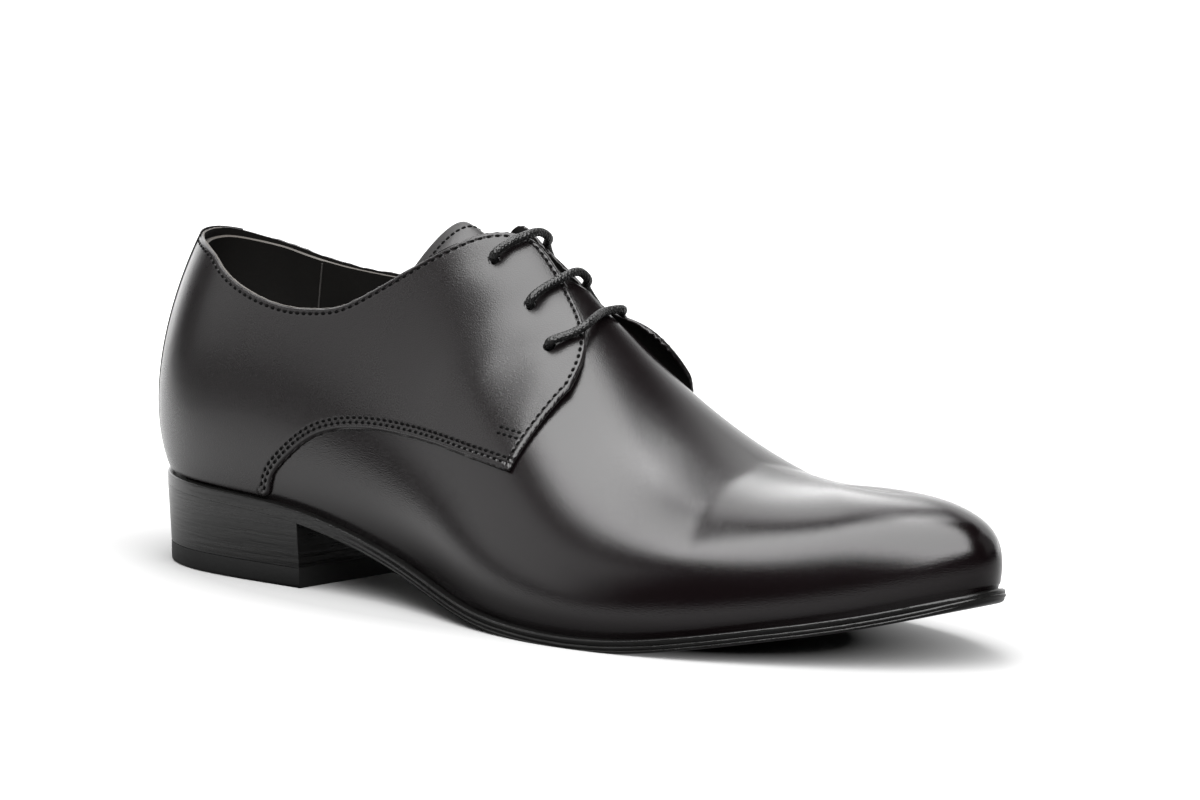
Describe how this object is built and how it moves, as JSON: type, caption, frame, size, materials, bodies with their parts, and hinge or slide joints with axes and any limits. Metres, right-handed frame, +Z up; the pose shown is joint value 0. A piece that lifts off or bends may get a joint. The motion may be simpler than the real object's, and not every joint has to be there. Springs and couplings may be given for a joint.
{
  "type": "leather derby shoe",
  "caption": "Plain black leather derby dress shoe for the right foot: hollow open-laced upper with a chiselled toe on a thin welted sole and low stacked heel.",
  "frame": {"origin": "centre of the shoe's bounding box in plan, on the floor that it stands on", "axes": "+X along the foot towards the toe, +Y towards the inner (medial) side of the foot, +Z up"},
  "size_m": [0.3, 0.0972, 0.1037],
  "materials": {
    "calf": "smooth polished black calf, semi-gloss, fine grain",
    "sole_leather": "black dyed and waxed edge with two fine ridges, satin",
    "heel_leather": "stacked lifts dyed black, satin",
    "heel_rubber": "matte black rubber",
    "insole_leather": "matte black sock leather",
    "waxed_lace": "round braided waxed cord"
  },
  "bodies": {
    "root": {"upper": "calf", "tongue": "calf", "welt": "sole_leather", "outsole": "sole_leather", "heel_stack": "heel_leather", "heel_top_piece": "heel_rubber", "insole": "insole_leather", "lace_bar_top": "waxed_lace", "lace_bar_middle": "waxed_lace", "lace_bar_bottom": "waxed_lace"}
  },
  "joints": []
}
